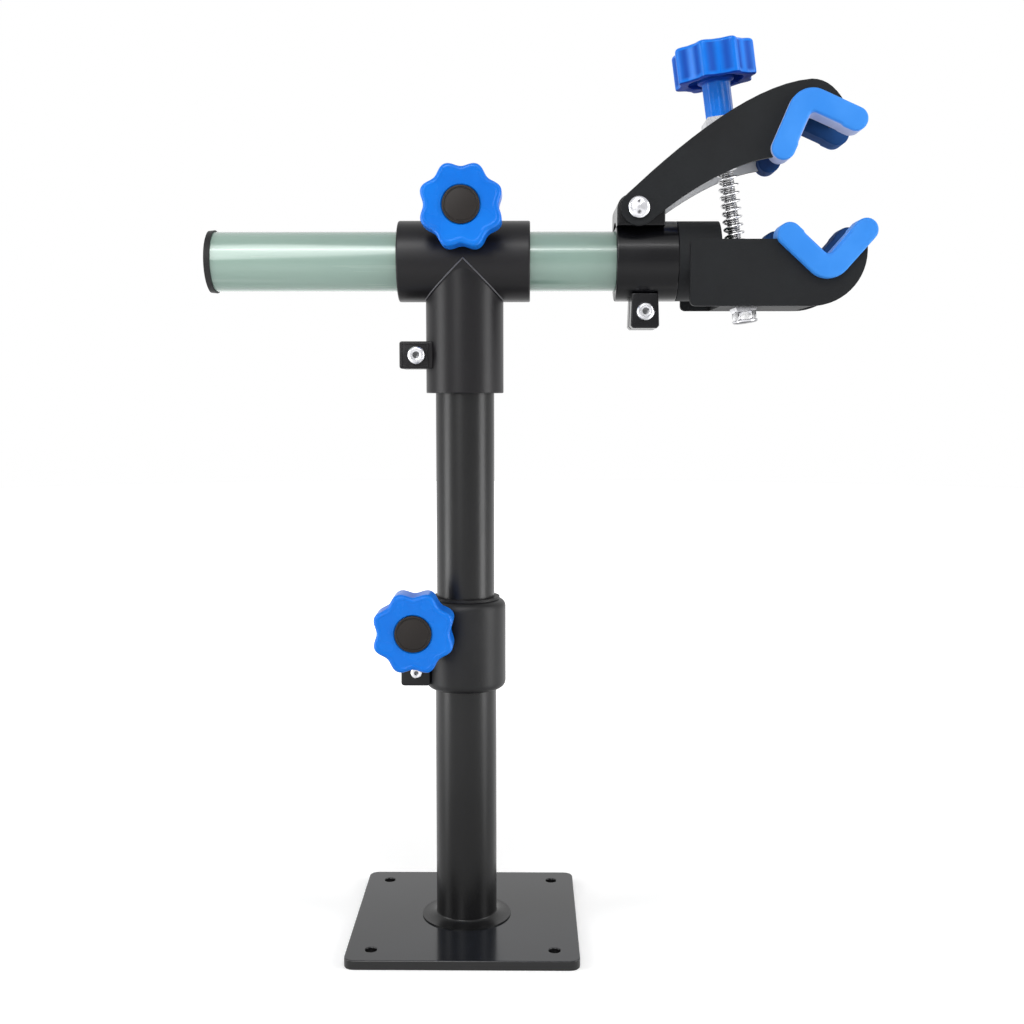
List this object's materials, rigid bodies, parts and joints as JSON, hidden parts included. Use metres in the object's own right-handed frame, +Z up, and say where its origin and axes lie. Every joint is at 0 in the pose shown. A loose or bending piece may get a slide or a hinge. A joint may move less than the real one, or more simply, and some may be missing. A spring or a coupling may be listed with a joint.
{
  "type": "bicycle repair stand",
  "caption": "Bench-mounted bicycle repair stand: bolted square base, telescoping swivel post, sliding rolling arm and screw clamp with V-shaped pads.",
  "frame": {"origin": "centre of the base plate's underside, on the post's axis", "axes": "+Z up along the post, +X along the arm towards the clamp at rest, -Y towards the side that carries the two star knobs"},
  "size_m": [0.4014, 0.14, 0.5481],
  "materials": {
    "base_plate": "satin",
    "foot_ring": "satin",
    "lower_tube": "gloss",
    "upper_tube": "gloss",
    "arm_tube": "gloss",
    "collar": "satin",
    "tee": "satin",
    "head": "gloss",
    "liner": "matte",
    "cap": "satin",
    "jaw": "matte",
    "pad": "satin",
    "knob": "gloss",
    "knob_cap": "satin",
    "zinc": "satin",
    "spring": "polished"
  },
  "bodies": {
    "base": {"base_plate": "base_plate", "foot_ring": "foot_ring", "lower_tube": "lower_tube", "post_collar": "collar", "collar_bolt": "zinc", "collar_nut": "zinc", "post_knob_bolt": "zinc"},
    "post_knob_washer": {"post_knob_washer": "zinc"},
    "post_knob": {"post_knob": "knob", "post_knob_insert": "zinc", "post_knob_cap": "knob_cap"},
    "collar_liner": {"collar_liner": "liner"},
    "post": {"upper_tube": "upper_tube", "tee_joint": "tee", "tee_bolt": "zinc", "tee_nut": "zinc", "arm_knob_bolt": "zinc"},
    "arm_knob_washer": {"arm_knob_washer": "zinc"},
    "arm_knob": {"arm_knob": "knob", "arm_knob_insert": "zinc", "arm_knob_cap": "knob_cap"},
    "tee_liner": {"tee_liner": "liner"},
    "arm": {"arm_tube": "arm_tube", "arm_end_cap": "cap", "head_sleeve": "head", "head_bolt": "zinc", "head_nut": "zinc", "pivot_bolt": "zinc", "pivot_nut": "zinc", "lower_jaw": "jaw", "lower_pad_near": "pad", "lower_pad_far": "pad"},
    "upper_jaw": {"upper_jaw": "jaw", "upper_pad_near": "pad", "upper_pad_far": "pad"},
    "clamp_screw": {"jaw_rod": "zinc", "rod_nut": "zinc", "rod_foot_seat": "zinc", "jaw_spring": "spring"},
    "screw_seat": {"rod_upper_seat": "zinc"},
    "clamp_knob": {"jaw_knob": "knob", "jaw_knob_insert": "zinc", "jaw_knob_cap": "knob_cap"}
  },
  "joints": [
    {"name": "post_knob_turn", "type": "hinge", "parent": "post_knob_washer", "child": "post_knob", "pos_m": [-0.02925, -0.0166, 0.196], "axis": [0, -1, 0], "range_deg": [0, 720]},
    {"name": "post_knob_travel", "type": "slide", "parent": "base", "child": "post_knob_washer", "axis": [0, -1, 0], "range_m": [0, 0.0026]},
    {"name": "post_swivel", "type": "hinge", "parent": "base", "child": "collar_liner", "pos_m": [0, 0, 0.196], "axis": [0, 0, 1], "continuous": true},
    {"name": "post_height", "type": "slide", "parent": "collar_liner", "child": "post", "axis": [0, 0, 1], "range_m": [-0.08, 0.07]},
    {"name": "arm_knob_turn", "type": "hinge", "parent": "arm_knob_washer", "child": "arm_knob", "pos_m": [0, -0.0166, 0.44595], "axis": [0, -1, 0], "range_deg": [0, 720]},
    {"name": "arm_knob_travel", "type": "slide", "parent": "post", "child": "arm_knob_washer", "axis": [0, -1, 0], "range_m": [0, 0.0026]},
    {"name": "arm_roll", "type": "hinge", "parent": "post", "child": "tee_liner", "pos_m": [0, 0, 0.418], "axis": [1, 0, 0], "continuous": true},
    {"name": "arm_slide", "type": "slide", "parent": "tee_liner", "child": "arm", "axis": [1, 0, 0], "range_m": [-0.05, 0.11]},
    {"name": "jaw_knob_turn", "type": "hinge", "parent": "screw_seat", "child": "clamp_knob", "pos_m": [0.15517, 0, 0.49943], "axis": [-0.1391, 0, 0.9903], "range_deg": [-6471.4, 1232.6], "deforming": ["jaw_spring"]},
    {"name": "jaw_swing", "type": "hinge", "parent": "arm", "child": "upper_jaw", "pos_m": [0.104, 0, 0.447], "axis": [0, -1, 0], "range_deg": [-21.1, 4.1], "deforming": ["jaw_spring"]},
    {"name": "screw_lean", "type": "hinge", "parent": "arm", "child": "clamp_screw", "pos_m": [0.1704, 0, 0.391], "axis": [0, -1, 0], "range_deg": [-8.29, 1.66], "deforming": ["jaw_spring"]},
    {"name": "screw_travel", "type": "slide", "parent": "clamp_screw", "child": "screw_seat", "axis": [-0.1391, 0, 0.9903], "range_m": [-0.02267, 0.00448], "deforming": ["jaw_spring"]}
  ],
  "couplings": [
    {"joint": "post_knob_travel", "follows": "post_knob_turn", "m_per_rad": 0.00019894},
    {"joint": "arm_knob_travel", "follows": "arm_knob_turn", "m_per_rad": 0.00019894},
    {"joint": "screw_travel", "follows": "jaw_knob_turn", "m_per_rad": 0.00019894},
    {"joint": "jaw_swing", "follows": "jaw_knob_turn", "ratio": 0.0032451},
    {"joint": "screw_lean", "follows": "jaw_knob_turn", "ratio": 0.0012656}
  ]
}
